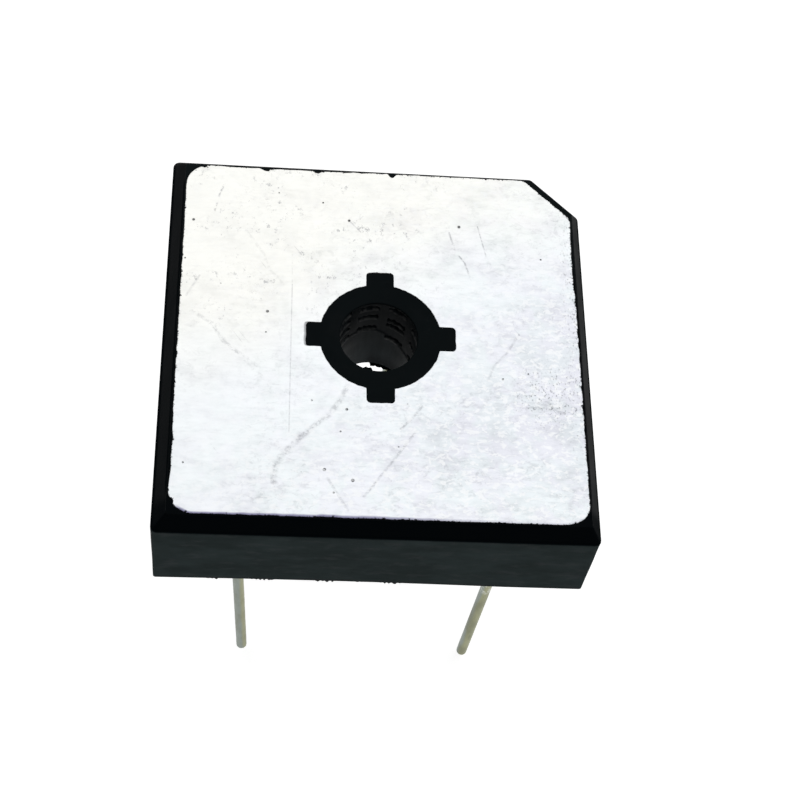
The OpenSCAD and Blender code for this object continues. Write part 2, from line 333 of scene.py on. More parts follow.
caseShape = {
    "chamfer": 3.22, "edge": 0.45, "footEdge": 0.14, "frontBow": 0.085, "bevelWidth": 0.9, "bevelDrop": 1.1,
    "floor": 1.2, "footBreak": 0.1, "mouthBreak": 0.3, "mouthRound": 0.08,
    "sleeve": 4.05, "collar": 5.5, "collarHeight": 0.4,
    "cavityChamfer": 2.33, "leadHole": 0.81, "recess": 0.03, "land": 0.05, "plateShift": 0.11,
    "boreHaze": 0.62, "ringHaze": 0.14, "chamferHaze": 0.45, "backHaze": 0.3, "wave": 0.012,
}
keyShape = {"disc": 4.02, "reach": 5.0, "width": 1.83, "corner": 0.25, "blend": 30, "leftShort": 0.1}
plateShape = {"chamfer": 3.12, "corner": 1.55, "chamferCorner": 0.6, "roll": 0.05, "leftPress": 0.07}
gripGrooves = {
    "depth": 0.22, "height": 0.34, "first": 0.35, "last": 3.2, "strip": 14, "turn": 10, "sets": 8,
    "taper": 0.3, "own": {0: (0.45, 1.85, 2.45, 3.95), 1: (0.9, 2.6, 4.2), 7: (0.6, 1.7, 3.05)},
    "ledge": 3.36, "ledgeDip": 1.25, "ledgeStep": 0.05,
}

# Places where the moulding bit into the plate's edge: the angle from +X, half the width in degrees, the depth
edgeNicks = {"backWide": (115.0, 26.0, 0.06), "leftLow": (214.0, 10.0, 0.09), "rightBack": (26.0, 14.0, 0.08),
             "backRight": (86.2, 1.5, 0.3), "backMiddle": (108.3, 1.3, 0.15), "backLeft": (121.0, 1.3, 0.24),
             "cornerBack": (132.6, 0.7, 0.16), "cornerFront": (223.6, 0.9, 0.12)}
edgeWander = 0.026

# Closer columns at the keys, the nicks in the back edge, the chamfer's ends and the three round corners
angles = columnAngles(0.8, [(0, 14.4, 0.4), (90, 14.4, 0.4), (180, 14.4, 0.4), (270, 14.4, 0.4),
                            (109, 3, 0.2), (121, 2, 0.2), (37.9, 3, 0.3), (52.1, 3, 0.3),
                            (135, 4.2, 0.3), (225, 4.2, 0.3), (315, 4.2, 0.3)])
columns = len(angles)


def caseOutline(inset, corner=None):
    corner = max(caseShape["edge"] - inset, 0.12) if corner is None else corner
    return squareRadius(angles, caseWidth, caseShape["chamfer"], [corner] * 5, inset)


# How far the front wall sinks in at its foot, at each X
def frontBow(x):
    return caseShape["frontBow"] * np.clip(1 - ((x + 3.5) / 12.5) ** 2, 0, 1)


# The plate's edge wanders a little with the angle, and each nick takes a rounded bite out of it
def plateOutline(inset=0.0):
    p = plateShape
    radii = [p["chamferCorner"], p["chamferCorner"], p["corner"], p["corner"], p["corner"]]
    outline = squareRadius(angles, plateWidth, p["chamfer"], [r - inset for r in radii], inset)
    wander = edgeWander * waves(3, 1.1, 13 * np.cos(angles), 13 * np.sin(angles))
    for place, half, depth in edgeNicks.values():
        away = np.abs((np.degrees(angles) - place + 180) % 360 - 180)
        wander = wander + depth * (1 - smoothStep(away, 0.2 * half, half))
    return outline - np.maximum(wander, -0.5 * edgeWander)


# The edge of the plate's keyed hole, which wanders in the same way
def holeOutline(inset=0.0):
    wander = 0.45 * edgeWander * waves(5, 0.8, 4.5 * np.cos(angles), 4.5 * np.sin(angles))
    return keyRadius(angles, keyShape, inset) + wander


# The grooves: in each set the wall moves out by the depth times two soft boxes, one along the hole, which
# gets lower towards the groove's ends, and one round it. Each groove has a painted highlight on the lip below
# it.
def grooveMarks(heights):
    g = gripGrooves
    depth, lip = np.zeros((len(heights), columns)), np.zeros((len(heights), columns))
    degrees = np.degrees(angles)
    each = 360 / g["sets"]
    for i in range(g["sets"]):
        middle = 90 - g["turn"] - (i + 0.5) * each
        away = np.abs((degrees - middle + 180) % 360 - 180)
        half = (each - g["strip"]) / 2
        around = 1 - smoothStep(away, half - 2.4, half + 0.6)
        for row, level in enumerate(g["own"].get(i, np.linspace(g["first"], g["last"], 4 - i % 2))):
            ragged = 0.035 * waves(40 + 4 * i + row, 12, degrees)
            taller = g["height"] / 2 * (1 - g["taper"] * np.minimum(away / half, 1) ** 2) + ragged
            below = (plateFace - level) - heights[:, None] + 0.5 * ragged
            along = 1 - smoothStep(np.abs(below) - taller, -0.08, 0.07)
            depth = np.maximum(depth, g["depth"] * along * around)
            under = smoothStep(below - taller, 0.02, 0.06) * (1 - smoothStep(below - taller, 0.12, 0.28))
            lip = np.maximum(lip, under * around)
    # Over the ledge, which dips towards +X, the wall is a step wider, and a painted highlight lightens a band
    # just below the ledge's rim, strongest towards -X
    ledge = g["ledge"] + g["ledgeDip"] * smoothStep(np.cos(angles), -0.1, 1.1)
    rise = heights[:, None] - plateFace + ledge
    over = smoothStep(rise, -0.03, 0.04)
    rim = smoothStep(rise, -0.25, -0.05) * (1 - over) * (0.2 + 0.4 * smoothStep(-np.cos(angles), -0.1, 0.7))
    return depth + g["ledgeStep"] * over, np.maximum(lip, rim), over


def makeCase(material):
    c = caseShape
    top = plateFace - c["recess"]
    floorTop = caseFoot + c["floor"]
    one = np.ones(columns)
    arc = np.linspace(0, turn / 4, 5)
    # Inner strip: lead-side mouth, hole, ring, key wall, collar and sleeve
    radii, heights, haze, shifts, worn = [], [], [], [], []

    def add(radius, height, dull=0.0, shift=c["plateShift"], matt=0.0):
        radii.append(radius * one)
        heights.append(height * one)
        haze.append(dull * one)
        shifts.append(shift)
        worn.append(matt * one)

    mouth = boreRadius + c["mouthBreak"]
    add(mouth + 0.3, caseFoot, 1, 0)
    add(mouth + 0.03, caseFoot, 1, 0)
    add(mouth - 0.02, caseFoot + 0.02, 1, 0)
    add(boreRadius + 0.02, caseFoot + c["mouthBreak"] - 0.02, 0.2, 0)
    add(boreRadius, caseFoot + c["mouthBreak"] + 0.04, 0.2, 0)
    levels = np.arange(plateFace - 4.8, top - 0.1, 0.08)
    levels = np.concatenate([np.linspace(caseFoot + 0.6, plateFace - 4.9, 7), levels])
    depth, lipHighlights, over = grooveMarks(levels)
    # Painted shade: the haze falls towards the hole's mouth, which darkens the wall low in the hole, most of
    # all on the side towards +X and +Y
    shaded = smoothStep(np.sin(angles), 0.2, 0.7) * smoothStep(np.cos(angles), -0.25, 0.1)
    for level, dig, wide in zip(levels, depth, over):
        mouthShade = 1 - smoothStep(level, caseFoot + 0.5, caseFoot + 2.2)
        dull = (1 - (1 - c["boreHaze"]) * wide) * (1 - 0.4 * mouthShade - 0.5 * mouthShade * shaded)
        add(boreRadius + dig, level, dull, 0)
    m, rimRadius = c["mouthRound"], boreRadius + gripGrooves["ledgeStep"]
    for a in arc:
        add(rimRadius + m - m * np.cos(a), top - m + m * np.sin(a), c["ringHaze"], 0)
    ringOut = holeOutline(0.03)
    for share in (0.04, 0.35, 0.7, 0.97):
        add((rimRadius + m) * (1 - share) + ringOut * share, top, c["ringHaze"], c["plateShift"] * share)
    add(ringOut, top, c["ringHaze"])
    add(holeOutline(0.002), top - 0.03, c["ringHaze"])
    add(holeOutline(0.002), plateBack + 0.02)
    add(holeOutline(0.002), plateBack)
    add(c["collar"], plateBack)
    add(c["collar"], plateBack - c["collarHeight"])
    add(c["sleeve"], plateBack - c["collarHeight"])
    add(c["sleeve"], floorTop)
    innerRows = len(radii)
    # Outer strip: cavity wall, ledge, pocket, corner fillings, bevel, side wall and foot
    cavity = squareRadius(angles, cavityWidth, c["cavityChamfer"], [0] * 5)
    add(cavity, floorTop, 0, 0)
    add(cavity, plateBack, 0, 0)
    back = c["backHaze"] * smoothStep(np.sin(angles), 0.2, 0.7)
    add(plateOutline(), plateBack)
    add(plateOutline(), top - 0.02)
    add(plateOutline(-0.02), top, back)
    bevelTop = c["bevelWidth"] - c["land"]
    add(np.maximum(caseOutline(bevelTop + 0.012, 0.14), plateOutline(-0.026)), top, back)
    add(caseOutline(bevelTop - 0.012, 0.14), top - 0.004, back)
    # The bevel: matt along both of its edges and towards the front corners, and hazy on the chamfered corner
    hazy = c["chamferHaze"] * (1 - smoothStep(np.abs(np.degrees(angles) - 45), 6, 7))
    straight = smoothStep(np.abs(np.degrees(angles) % 90 - 45), 2.5, 5)
    bevelRows = ((0.05, straight), (0.1, straight), (0.17, 0), (0.5, 0), (0.78, 0), (0.87, 1), (0.94, 1))
    for share, matt in bevelRows:
        outline = caseOutline(bevelTop * (1 - share))
        front = 0.6 * smoothStep(-outline * np.sin(angles), 11.9, 12.9)
        add(outline, top - (c["bevelDrop"] - c["recess"]) * share, hazy, c["plateShift"] * (1 - share),
            np.maximum(front, matt))
    low = plateFace - c["bevelDrop"]
    for inset, drop, dull in ((0.05, -0.061, 0), (0.022, -0.02, 0.3), (0.006, 0.02, 0.8), (0, 0.06, 1)):
        add(caseOutline(inset), low - drop, dull, 0, 1)
    # Moulded walls are never quite flat: they sink in by a small wave, and the front one by a bow at its
    # foot. The upright edges get sharper towards the foot.
    foot = c["footBreak"]
    wallX, wallY = caseOutline(0) * np.cos(angles), caseOutline(0) * np.sin(angles)
    bow = frontBow(wallX) * smoothStep(-wallY, 13, 14)
    bands = [smoothStep(np.abs(np.degrees(angles) - place), 0.3, 0.55) for place in (224.5, 315.5)]
    upright = np.min(bands, 0)
    for height in np.linspace(low - 0.3, caseFoot + foot + 0.15, 13):
        share = (low - height) / (low - caseFoot)
        sunk = c["wave"] * (0.5 + 0.5 * waves(21, 7, wallX, wallY, 1.6 * height * one))
        edge = c["edge"] + (c["footEdge"] - c["edge"]) * share
        add(caseOutline(0, edge) - np.maximum(sunk, 0) - bow * share, height, upright, 0)
    add(caseOutline(0, c["footEdge"]) - bow, caseFoot + foot + 0.05, 0.3, 0)
    for a in np.linspace(0.15, 1, 6) * turn / 4:
        inset = foot * (1 - np.cos(a))
        add(caseOutline(inset, c["footEdge"] - 0.5 * inset) - bow, caseFoot + foot - foot * np.sin(a), 0, 0)
    add(caseOutline(foot + 0.06, 0.12) - bow, caseFoot, 1, 0)
    add(caseOutline(foot + 0.3, 0.12) - bow, caseFoot, 1, 0)
    radii, heights = np.array(radii), np.array(heights)
    points = polarPoints(radii, angles, heights)
    points[..., 0] += np.array(shifts)[:, None]
    bore = np.zeros_like(radii)
    bore[1:len(levels) + 5] = 1
    # lip holds the painted highlights below the grooves and just below the ledge's rim
    lip = np.zeros_like(radii)
    lip[5:len(levels) + 5] = lipHighlights
    rows = len(radii)
    innerFaces = ringFaces(innerRows, columns)
    outerFaces = ringFaces(rows - innerRows, columns, innerRows * columns)
    # Each lead's hole: a wall with soft rims between the two faces of the floor
    points = points.reshape(-1, 3)
    count, reach = 48, c["leadHole"]
    around = np.arange(count) / count * turn
    rims = np.array([[reach + 0.2, 0], [reach + 0.05, 0], [reach + 0.015, 0.015], [reach, 0.05],
                     [reach, c["floor"]]])
    faces, lowRings, highRings = [innerFaces, outerFaces], [], []
    for wire in leadWires.values():
        hole = polarPoints(rims[:, :1], around, caseFoot + rims[:, 1:]) + [*wire["root"], 0]
        first = len(points)
        points = np.vstack([points, hole.reshape(-1, 3)])
        haze.append(np.ones(hole[..., 0].size))
        faces.append(ringFaces(len(rims), count, first)[:, ::-1])
        lowRings.append(first + np.arange(count))
        highRings.append(first + (len(rims) - 1) * count + np.arange(count))
    ring = lambda row: row * columns + np.arange(columns)
    lowFace = flatFaces(points, [ring(rows - 1), ring(0), *lowRings])
    highFace = flatFaces(points, [ring(innerRows), ring(innerRows - 1), *highRings])
    faces += [lowFace[:, ::-1], highFace]
    values = {"haze": np.concatenate(haze)}
    for key, value in (("bore", bore), ("lip", lip), ("worn", np.array(worn))):
        values[key] = np.pad(value.ravel(), (0, len(points) - value.size))
    return makePiece("caseSkin", points, faces, material, ["case"], values)


plasticLook = {
    "smooth": (0.0010, 0.0023, 0.0032), "scuff": (0.052, 0.055, 0.058), "specular": 0.02,
    "hazeDark": (0.0165, 0.0238, 0.0240), "hazeLight": (0.0270, 0.0372, 0.0380),
    "boreDark": (0.0080, 0.0128, 0.0150), "boreLight": (0.0225, 0.0300, 0.0335),
    "lipLight": (0.15, 0.155, 0.155),
}


# Black plastic: smooth where haze is 0, and greyer with soft smudges where it is 1. The smudges run along
# the walls, and down the wall of the hole, whose grooves get a painted highlight on their lips.
def paintPlastic(place, smooth, hazeDark, hazeLight, boreDark, boreLight, lipLight, scuff, specular):
    haze = place.node("Attribute", {"attribute_name": "haze"}, take="Fac")
    bore = place.node("Attribute", {"attribute_name": "bore"}, take="Fac")
    lip = place.node("Attribute", {"attribute_name": "lip"}, take="Fac")
    worn = place.node("Attribute", {"attribute_name": "worn"}, take="Fac")
    mottle = noise(place, 2.4, 4, 0.55, (1.3, 1.3, 0.6))
    streak = noise(place, 1.3, 3, 0.6, (1, 1, 7), 6)
    grain = noise(place, 0.14, 3, 0.6)
    wall = mix(step(mottle, 0.3, 0.72), hazeDark, hazeLight)
    smudge = noise(place, 1.1, 4, 0.6, (1.6, 1.6, 0.7), 33)
    wall = mix(0.3 * step(smudge, 0.5, 0.7), wall, scuff)
    hole = mix(step(streak, 0.36, 0.68), boreDark, boreLight)
    # Painted highlight, in patches: the lips below the grooves and a band just below the ledge's rim are
    # lightened
    uneven = step(noise(place, 0.5, 2, 0.5, shift=71), 0.3, 0.55, 0.1, 1)
    hole = mix(lip * uneven, hole, lipLight)
    colour = mix(haze, smooth, mix(bore, wall, hole))
    bent = vectorMath("ADD", place, noise(place, 3, 2, 0.5, shift=2))
    scratch = noise(bent, 0.9, 2, 0.5, (2.6, 2.6, 0.2), 12)
    rubbed = step(abs(scratch - 0.5), 0.0, 0.012, 1, 0)
    rubbed = rubbed * step(noise(place, 2.5, 2, 0.5, shift=15), 0.6, 0.7) * haze
    colour = mix(0.35 * rubbed * (1 - bore), colour, scuff)
    rough = 0.36 + 0.42 * haze * (1 - bore) + 0.12 * step(mottle, 0.25, 0.8) + 0.06 * grain
    rough = rough + worn * (1 - rough)
    relief = (0.003 * grain + 0.02 * mottle) * (1 - bore) - 0.004 * rubbed + 0.01 * streak * bore
    return {"Base Color": colour, "Roughness": rough, "Normal": bump(relief), "Specular IOR Level": specular}


plateLook = {
    "warm": (1.0, 1.0, 0.96), "cool": (0.955, 0.985, 1.0), "dim": (0.868, 0.890, 0.925),
    "lilac": (0.968, 0.958, 1.0), "ice": (0.955, 0.982, 0.992), "bright": (0.97, 0.985, 1.0),
    "dark": (0.30, 0.31, 0.335), "stain": (0.012, 0.012, 0.016), "violet": (0.22, 0.21, 0.36),
}

# Scratches on the plate: the points they pass, their width, how dark they are and how broken
plateScratches = {
    "hairline": ([(-5.8, 3.8), (-5.8, -7.4)], 0.06, 0.32, 0.4),
    "hairlineTop": ([(-5.85, 6.4), (-5.8, 3.8)], 0.05, 0.16, 0.9),
    "hook": ([(-2.0, -3.8), (-2.5, -4.9), (-3.2, -6.0), (-4.4, -7.1), (-5.5, -8.2), (-6.2, -9.1),
              (-6.6, -10.0), (-6.7, -11.0)], 0.28, 0.38, 0.7),
    "shortUpper": ([(2.8, -5.2), (2.2, -6.0), (1.4, -6.9)], 0.13, 0.42, 0.6),
    "shortLower": ([(2.4, -7.0), (1.3, -8.6), (-0.4, -11.0), (-1.0, -11.8)], 0.13, 0.42, 0.6),
    "front": ([(-3.3, -10.6), (-2.0, -12.8)], 0.14, 0.3, 0.5),
    "backRight": ([(6.9, 9.2), (7.15, 8.0), (7.4, 6.8)], 0.07, 0.45, 0.7),
    "right": ([(9.4, 0.6), (8.6, -0.8), (7.6, -2.0), (7.2, -3.0)], 0.13, 0.34, 0.6),
    "backLeft": ([(-9.0, 8.0), (-7.8, 6.2), (-7.4, 5.0), (-6.4, 3.8)], 0.16, 0.14, 1.0),
    "leftShort": ([(-12.0, 4.2), (-12.8, 2.6)], 0.12, 0.26, 0.5),
    "left": ([(-12.4, 1.4), (-11.0, 0.5), (-10.2, -0.9), (-8.0, -2.6)], 0.2, 0.22, 0.9),
    "leftLower": ([(-11.0, 0.4), (-9.6, -1.4), (-7.6, -3.4)], 0.16, 0.14, 1.0),
    "trail": ([(4.9, 8.6), (5.3, 7.0), (5.9, 6.2), (6.3, 4.8)], 0.10, 0.5, 1.0),
    "trailLeft": ([(-10.6, 11.8), (-10.9, 11.0), (-11.2, 9.6)], 0.10, 0.5, 1.0),
    "tick": ([(-2.0, 9.2), (-1.2, 8.3)], 0.07, 0.4, 0.3),
}
# Specks on the plate: place and radius
plateSpecks = [
    (-2.0, 9.2, 0.075), (5.6, 9.1, 0.09), (-3.8, 10.6, 0.05), (-12.6, 8.7, 0.08), (-7.4, 1.6, 0.085),
    (-3.5, -10.0, 0.085), (-1.7, -10.7, 0.09), (-2.1, -5.6, 0.075), (8.2, -2.9, 0.06), (11.2, 6.7, 0.05),
    (-2.9, -11.6, 0.05),
]


# Brushed aluminium: warm white at the back left, cooler and dimmer to the front right, where it takes a
# lilac and an icy tinge. The lean from warm to cool is partly the metal's tone and partly a painted
# reflection, and the dimming paints the softbox's reflection fading there. Fine streaks along X, crumbs,
# hairlines, scratches and specks darken it, and the plastic's ragged bleed covers its edges.
def paintPlate(place, warm, cool, dim, lilac, ice, dark, bright, stain, violet):
    x, y = axis(place, "X"), axis(place, "Y")
    drift = noise(place, 9, 2, 0.5)
    blotch = noise(place, 1.7, 5, 0.62, (1.25, 1, 1), 3)
    streak = noise(place, 0.17, 3, 0.65, (4, 1, 1), 8)
    band = noise(place, 0.42, 4, 0.6, (4, 1, 1), 21)
    crumb = noise(place, 0.45, 5, 0.72, (1.4, 1, 1), 5, 0.7)
    # Partly painted reflection: the lean from warm to cool is partly the metal's own tone, and the dimming to
    # the right of the middle is a painted fall-off of the softbox's reflection
    lean = step(0.05 * x - 0.09 * y + 1.1 * drift, -0.3, 0.65)
    reflectionFalloff = step(0.06 * x - 0.05 * y + 1.0 * drift + 0.6 * blotch, 0.75, 1.7)
    reflectionFalloff = reflectionFalloff * step(y, -14.5, -5) * step(y, 2, 9, 1, 0.1)
    colour = mix(0.9 * reflectionFalloff, mix(lean, warm, cool), dim)
    coarse = step(0.05 * x - 0.05 * y + 0.8 * blotch, -0.5, 1.3)
    tinge = mix(step(noise(place, 1.9, 3, 0.6, shift=101), 0.42, 0.58), lilac, ice)
    colour = mix(coarse, colour, tinge, "MULTIPLY")
    shade = (0.06 + 0.06 * coarse) * step(blotch, 0.49, 0.7)
    shade = shade + (0.02 + 0.05 * coarse) * step(streak, 0.5, 0.72)
    patches = step(noise(place, 4.5, 3, 0.6, shift=77), 0.42, 0.58, 0.25, 1)
    shade = shade + (0.02 + 0.05 * coarse) * step(band, 0.48, 0.6)
    shade = shade + (0.08 + 0.12 * coarse) * patches * step(crumb, 0.5, 0.62)
    hair = noise(place.node("VectorRotate", {"rotation_type": "Z_AXIS"}, {"Vector": place, "Angle": 0.95}),
                 0.2, 1, 0.5, (16, 1, 1), 31)
    shade = shade + 0.3 * step(hair, 0.74, 0.82) * step(blotch, 0.4, 0.6)
    gaps = step(noise(place, 0.42, 4, 0.75, shift=41), 0.46, 0.56, 1, 0)
    marks = 0
    for stops, width, depth, broken in plateScratches.values():
        line = 0
        for start, end in zip(stops[:-1], stops[1:]):
            mask = lineMask(place, start, end, width)
            line = mask.math("MAXIMUM", mask, line)
        marks = line * depth * (1 - broken * gaps) + marks
    specks = 0
    for centreX, centreY, radius in plateSpecks:
        away = vectorMath("DISTANCE", place, (centreX, centreY, plateFace), take="Value")
        specks = step(away, 0.6 * radius, 1.5 * radius, 1, 0) + specks
    cells = {"Vector": place, "Scale": 1 / 0.62}
    pits = place.node("TexVoronoi", None, cells)
    chosen = step(axis(place.node("TexVoronoi", None, cells, "Color"), 0), 0.95, 0.955)
    pitted = chosen * step(pits, 0.05, 0.13, 1, 0)
    worn = step(vectorMath("DISTANCE", place, (11.2, -4.0, plateFace), take="Value"), 1.0, 3.6, 1, 0)
    edgeWorn = step(x, 11.8, 13.3) * step(y, -11, -5, 0.3, 1) * step(y, 6, 11, 1, 0.4)
    worn = worn.math("MAXIMUM", worn, edgeWorn)
    grit = noise(place, 0.11, 2, 0.6, (1, 1.5, 1), 51)
    specks = specks + 0.8 * pitted + 0.42 * worn * step(grit, 0.61, 0.7)
    ticks = step(noise(place, 0.36, 4, 0.8, (1, 1.4, 1), 91), 0.56, 0.66)
    ticks = ticks * step(y, -2, 4) * step(x, 1, 6, 1, 0.15)
    shade = shade + 0.55 * ticks * step(noise(place, 2.6, 3, 0.6, shift=93), 0.45, 0.62)
    colour = mix(clamp(shade + marks), colour, dark)
    colour = mix(0.85 * clamp(specks), colour, stain)
    flecks = (0.15 + 0.85 * coarse) * step(noise(place, 0.34, 3, 0.65, (1.5, 1, 1), 61, 0.5), 0.51, 0.6)
    colour = mix(0.8 * flecks, colour, bright)
    edge = place.node("Attribute", {"attribute_name": "edge"}, take="Fac")
    rag = noise(place, 0.24, 4, 0.75, shift=11)
    # Painted shade: a dark violet fringe just inside the plate's front edge
    fringe = step(y, -13.1, -12.7, 1, 0) * step(x, -2, 9, 1, 0.25)
    colour = mix(fringe * step(edge, 0.08, 0.26, 0.9, 0), colour, violet)
    # Painted shade: a grey strip where the metal is pressed down beside the left key
    pressed = step(x, -4.9, -4.6, 1, 0) * step(x, -5.4, -5.2) * step(abs(y), 0.9, 1.0, 1, 0)
    colour = mix(0.6 * pressed * step(edge, 0.1, 0.2, 1, 0), colour, dark)
    flat = vectorMath("MULTIPLY", place, (1, 1, 0))
    outer = step(vectorMath("LENGTH", flat, take="Value"), 6, 8, 0.25, 1)
    bleed = step(edge - 0.16 * outer * step(rag, 0.48, 0.72), 0.0, 0.03, 1, 0)
    colour = mix(bleed, colour, stain)
    rough = 0.34 + 0.12 * blotch + 0.1 * streak + 0.3 * bleed
    relief = 0.004 * streak + 0.008 * blotch + 0.003 * crumb - 0.012 * marks - 0.03 * specks
    return {"Base Color": colour, "Roughness": rough, "Metallic": 1 - bleed, "Normal": bump(relief),
            "Specular IOR Level": 0.2}


wireLook = {"cool": (0.235, 0.265, 0.235), "olive": (0.30, 0.305, 0.18), "dull": (0.17, 0.175, 0.12),
            "bloom": (0.60, 0.61, 0.56)}


# Tinned wire: cool grey on the -X side and a lighter olive on the +X side, which is a painted highlight, with
# duller lengths and whitish bloom in places
def paintWire(place, cool, olive, dull, bloom):
    side = place.node("Attribute", {"attribute_name": "side"}, take="Fac")
    along = noise(place, 1.1, 4, 0.6, (1, 1, 3))
    grain = noise(place, 0.13, 3, 0.6, (1, 1, 2.5), 4)
    # Painted highlight: the +X side of each wire, and more of the wires to the right, turn olive
    right = step(axis(place, "X"), -2, 2, 0, 0.85)
    tint = step(side + right + 1.2 * (along - 0.5), -0.05, 0.6)
    colour = mix(0.55 * step(along, 0.42, 0.7), mix(tint, cool, olive), dull)
    patch = step(noise(place, 0.3, 3, 0.7, shift=9), 0.48, 0.56) * step(axis(place, "Z"), 12.7, 13.3)
    patch = patch * step(axis(place, "Z"), 14.6, 15.2, 1, 0) * step(axis(place, "X"), 0, 1)
    colour = mix(0.7 * patch * step(axis(place, "Y"), -1, 1, 1, 0), colour, bloom)
    return {"Base Color": colour, "Metallic": 1.0, "Roughness": 0.34 + 0.25 * along,
            "Normal": bump(0.012 * along + 0.004 * grain)}


# A plain solid finish with some grain, for the pieces that are sealed inside
def paintPlain(place, colour, shade, metallic, rough, size):
    cloud = noise(place, size, 4, 0.6)
    return {"Base Color": mix(step(cloud, 0.3, 0.75), colour, shade), "Metallic": metallic,
            "Roughness": rough + 0.15 * cloud, "Normal": bump(0.01 * cloud)}


plastic = makeMaterial("dullBlackPlastic", paintPlastic, **plasticLook)
aluminium = makeMaterial("brushedPlate", paintPlate, **plateLook)
tinned = makeMaterial("tinnedWire", paintWire, **wireLook)
plainLooks = {
    "resin": ("castResin", (0.010, 0.010, 0.011), (0.018, 0.018, 0.019), 0.0, 0.35, 1.4),
    "copper": ("rolledCopper", (0.80, 0.42, 0.27), (0.62, 0.30, 0.19), 1.0, 0.28, 0.8),
    "silicon": ("darkSilicon", (0.09, 0.09, 0.11), (0.06, 0.06, 0.08), 0.6, 0.12, 1.0),
    "solder": ("satinSolder", (0.55, 0.55, 0.56), (0.42, 0.42, 0.44), 1.0, 0.35, 0.5),
    "ceramic": ("whiteCeramic", (0.80, 0.79, 0.74), (0.70, 0.69, 0.65), 0.0, 0.5, 0.7),
}
plain = {}
for kind, (title, colour, shade, metallic, rough, size) in plainLooks.items():
    plain[kind] = makeMaterial(title, paintPlain, colour=colour, shade=shade, metallic=metallic,
                               rough=rough, size=size)
print("materials made")


def dress(node, material):
    slots = frame["nodes"][node].data.materials
    slots.clear()
    slots.append(material)


for node in frame["nodes"]:
    kind = "copper" if "frame" in node or "clip" in node and "solder" not in node else "solder"
    kind = {"insulator": "ceramic", "potting": "resin"}.get(node, kind)
    if node.startswith("die_") and "solder" not in node:
        kind = "silicon"
    dress(node, plain[kind])
for name in leadWires:
    dress(name, tinned)
dress("case", plastic)
dress("base_plate", aluminium)

makeCase(plastic)


# The base plate: a polar grid over the top, rolled over at both edges, and down its walls to the back.
# The attribute edge holds the distance to the nearest edge.
def makePlate(material):
    roll = plateShape["roll"]
    inner = holeOutline(-0.012)
    outer = plateOutline(0.012)
    radii, heights, edge = [], [], []
    gaps = np.array([0, 0.1, 0.3, 0.6, 1.0]) * roll
    drops = roll - np.sqrt(np.maximum(roll**2 - (roll - np.minimum(gaps, roll)) ** 2, 0))

    def add(radius, height, distance):
        radii.append(radius * np.ones(columns))
        heights.append(height * np.ones(columns))
        edge.append(distance * np.ones(columns))

    # The metal is pressed down a little where it meets the left key
    pressed = plateShape["leftPress"] * (1 - smoothStep(np.abs(np.degrees(angles) - 180), 9, 12))
    add(inner, plateBack, 0)
    add(inner, plateFace - roll - 0.03 - pressed, 0)
    for gap, drop in zip(gaps, drops):
        add(inner + gap, plateFace - drop - pressed * (1 - smoothStep(gap, 0.02, 0.2)), gap)
    for gap in (0.09, 0.16, 0.26, 0.4, 0.7):
        add(inner + gap, plateFace - pressed * (1 - smoothStep(gap, 0.02, 0.2)), gap)
    first, last = inner + 1.0, outer - 0.9
    for share in np.linspace(0, 1, 9):
        radius = first * (1 - share) + last * share
        add(radius, plateFace, np.minimum(radius - inner, outer - radius))
    for gap in (0.7, 0.4, 0.26, 0.16, 0.09):
        add(outer - gap, plateFace, gap)
    for gap, drop in zip(gaps[::-1], drops[::-1]):
        add(outer - gap, plateFace - drop, gap)
    add(outer, plateFace - roll - 0.03, 0)
    add(outer, plateBack, 0)
    points = polarPoints(np.array(radii), angles, np.array(heights)).reshape(-1, 3)
    points += [caseShape["plateShift"], 0, 0]
    faces = [ringFaces(len(radii), columns, closeRows=True)]
    return makePiece("plateSkin", points, faces, material, ["base_plate"],
                     {"edge": np.array(edge)})


makePlate(aluminium)


# A thin solid strip from its cross-sections, each four corners in order, closed with a face at both ends
def makeStrip(name, corners, material):
    count = len(corners)
    index = np.arange(count * 4).reshape(count, 4)
    index = np.hstack([index, index[:, :1]])
    sides = np.stack([index[:-1, :-1], index[:-1, 1:], index[1:, 1:], index[1:, :-1]], -1).reshape(-1, 4)
    ends = np.array([index[0, 3::-1], index[-1, :4]])
    return makePiece(name, corners.reshape(-1, 3), [sides, ends], material, sharp=60)


# Flash: the thin ragged skin that the mould left along three edges. Each strip's depth is a smooth hump
# along the edge times a rough wave.
flashShape = {
    "front": {"from": -12.5, "to": 3.5, "depth": 0.26, "thick": 0.05, "size": 0.45},
    "mouth": {"from": 20, "to": 91, "depth": 0.40, "rough": 0.035, "thick": 0.05},
    "rim": {"from": -116, "to": -97, "depth": 0.25, "rough": 0.02, "thick": 0.06},
}


def makeFrontFlash(material):
    f = flashShape["front"]
    x = np.arange(f["from"], f["to"], 0.06)
    share = (x - f["from"]) / (f["to"] - f["from"])
    hump = np.clip(waves(31, 3.2, x), 0, 1) * smoothStep(share, 0, 0.08) * smoothStep(share, 1, 0.92)
    drop = 0.004 + f["depth"] * hump * np.clip(0.4 + 0.8 * waves(32, f["size"], x), 0, 1)
    front = (0.012 + frontBow(x) - caseWidth / 2)[:, None]
    foot = caseFoot + caseShape["footBreak"]
    corners = np.empty((len(x), 4, 3))
    corners[..., 0] = x[:, None]
    corners[..., 1] = front + np.array([0, f["thick"], f["thick"], 0])
    corners[..., 1] += 0.05 * np.array([0, 0, 1, 1]) * drop[:, None]
    above, below = foot + 0.03 + 0 * x, foot - drop - 0.03
    corners[..., 2] = np.stack([above, above, below, below], 1)
    return makeStrip("frontFlash", corners, material)


